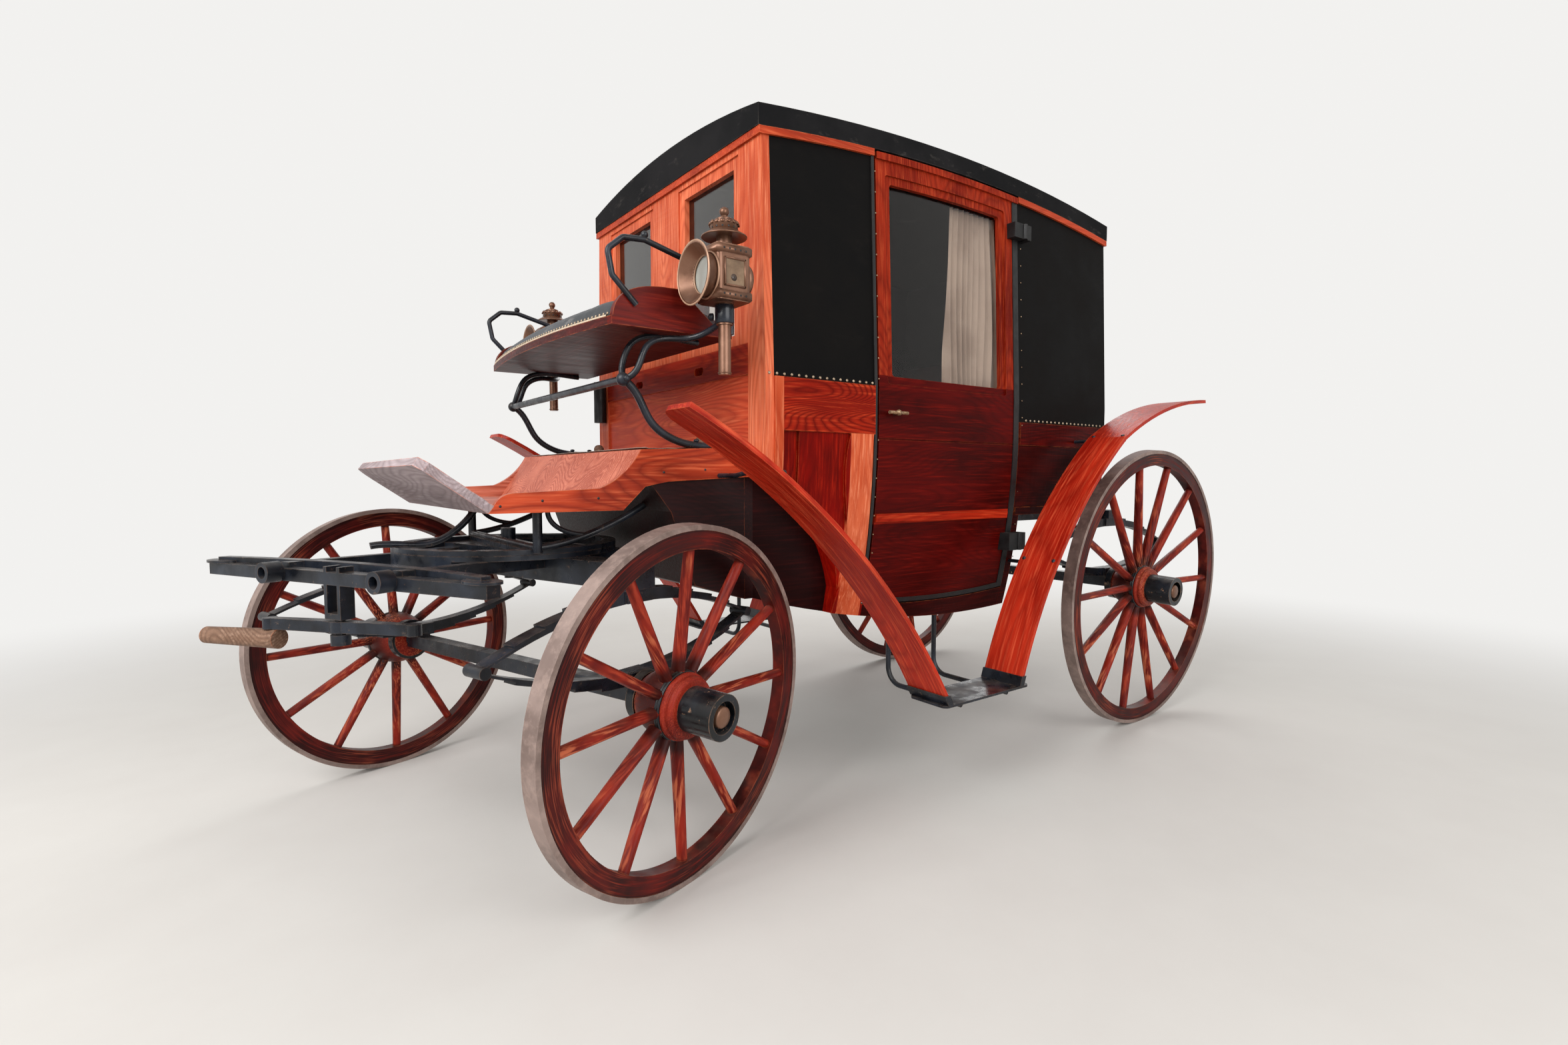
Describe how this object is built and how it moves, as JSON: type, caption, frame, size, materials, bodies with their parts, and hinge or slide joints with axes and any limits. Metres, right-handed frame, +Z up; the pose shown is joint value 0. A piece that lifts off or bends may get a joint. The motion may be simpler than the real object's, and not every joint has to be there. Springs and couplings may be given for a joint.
{
  "type": "closed horse-drawn carriage",
  "caption": "Closed horse-drawn coupe carriage with spoked wooden wheels, a steered fore-carriage, elliptic springs, hinged doors, side lamps and a raised driver seat.",
  "frame": {"origin": "middle of the bounding box in X and Y, on the ground", "axes": "+X towards the front (shafts), +Y to the left of the driver, +Z up; the fore-carriage rests steered 18.3 degrees to the left as it is parked, and its splinter bar stands a further 10 degrees askew, as seen"},
  "size_m": [3.8838, 1.7728, 2.2762],
  "materials": {
    "varnished_wood": "satin varnish over reddish brown wood",
    "wheel_wood": "worn red varnish",
    "iron_black": "black paint, rubbed",
    "tyre_iron": "worn brown iron",
    "leather_black": "matte black",
    "glass_clear": "clear",
    "lens_glass": "clear, slightly milky",
    "lamp_metal": "aged copper brown",
    "brass_aged": "aged",
    "cloth_white": "plain weave",
    "toe_board_wood": "weathered varnish",
    "bare_wood": "bare, worn"
  },
  "bodies": {
    "carriage": {"back_lower": "varnished_wood", "back_upper": "leather_black", "bench_cushion": "leather_black", "boot_lower": "varnished_wood", "boot_upper": "varnished_wood", "cornice": "varnished_wood", "driver_cushion": "leather_black", "driver_seat": "varnished_wood", "edging": "iron_black", "fixed_glass": "glass_clear", "floor_pan": "varnished_wood", "front_mudguards": "varnished_wood", "front_sash": "varnished_wood", "front_wall": "varnished_wood", "guard_irons": "iron_black", "lamp_lenses": "lens_glass", "lamps": "lamp_metal", "rear_axle": "iron_black", "rear_irons": "iron_black", "rear_mudguards": "varnished_wood", "rear_springs": "iron_black", "roof": "leather_black", "seat_irons": "iron_black", "side_lower_left": "varnished_wood", "side_lower_right": "varnished_wood", "side_upper_left": "leather_black", "side_upper_right": "leather_black", "steps": "iron_black", "toe_board": "toe_board_wood", "upper_fifth_wheel": "iron_black", "whip_socket": "iron_black"},
    "front_left_wheel": {"front_left_wheel_hub": "iron_black", "front_left_wheel_tyre": "tyre_iron", "front_left_wheel_wood": "wheel_wood"},
    "front_right_wheel": {"front_right_wheel_hub": "iron_black", "front_right_wheel_tyre": "tyre_iron", "front_right_wheel_wood": "wheel_wood"},
    "rear_left_wheel": {"rear_left_wheel_hub": "iron_black", "rear_left_wheel_tyre": "tyre_iron", "rear_left_wheel_wood": "wheel_wood"},
    "rear_right_wheel": {"rear_right_wheel_hub": "iron_black", "rear_right_wheel_tyre": "tyre_iron", "rear_right_wheel_wood": "wheel_wood"},
    "forecarriage": {"front_axle": "iron_black", "front_springs": "iron_black", "fore_frame": "iron_black", "splinter_bar": "iron_black", "shaft_eyes": "iron_black"},
    "evener": {"evener": "iron_black", "swingletree_stub": "bare_wood"},
    "door_left": {"curtain_left": "cloth_white", "door_fittings_left": "iron_black", "door_glass_left": "glass_clear", "door_handle_left": "brass_aged", "door_left": "varnished_wood"},
    "door_right": {"curtain_right": "cloth_white", "door_fittings_right": "iron_black", "door_glass_right": "glass_clear", "door_handle_right": "brass_aged", "door_right": "varnished_wood"}
  },
  "joints": [
    {"name": "steering", "type": "hinge", "parent": "carriage", "child": "forecarriage", "pos_m": [1.16001, 0, 0.84658], "axis": [0, 0, 1], "range_deg": [-36.6, 0]},
    {"name": "front_left_wheel_spin", "type": "hinge", "parent": "forecarriage", "child": "front_left_wheel", "pos_m": [0.9242, 0.71302, 0.47958], "axis": [-0.3137, 0.9486, -0.0419], "continuous": true},
    {"name": "front_right_wheel_spin", "type": "hinge", "parent": "forecarriage", "child": "front_right_wheel", "pos_m": [1.39582, -0.71302, 0.47958], "axis": [-0.3137, 0.9486, 0.0419], "continuous": true},
    {"name": "rear_left_wheel_spin", "type": "hinge", "parent": "carriage", "child": "rear_left_wheel", "pos_m": [-1.34299, 0.751, 0.59747], "axis": [0, 0.9991, -0.0419], "continuous": true},
    {"name": "rear_right_wheel_spin", "type": "hinge", "parent": "carriage", "child": "rear_right_wheel", "pos_m": [-1.34299, -0.751, 0.59747], "axis": [0, 0.9991, 0.0419], "continuous": true},
    {"name": "door_left_hinge", "type": "hinge", "parent": "carriage", "child": "door_left", "pos_m": [-0.60699, 0.626, 1.1], "axis": [0, 0, 1], "range_deg": [0, 45]},
    {"name": "door_right_hinge", "type": "hinge", "parent": "carriage", "child": "door_right", "pos_m": [-0.60699, -0.626, 1.1], "axis": [0, 0, -1], "range_deg": [0, 45]},
    {"name": "evener_swing", "type": "hinge", "parent": "forecarriage", "child": "evener", "pos_m": [1.63947, 0.15857, 0.68808], "axis": [0, 0, 1], "range_deg": [-32, 7]}
  ]
}
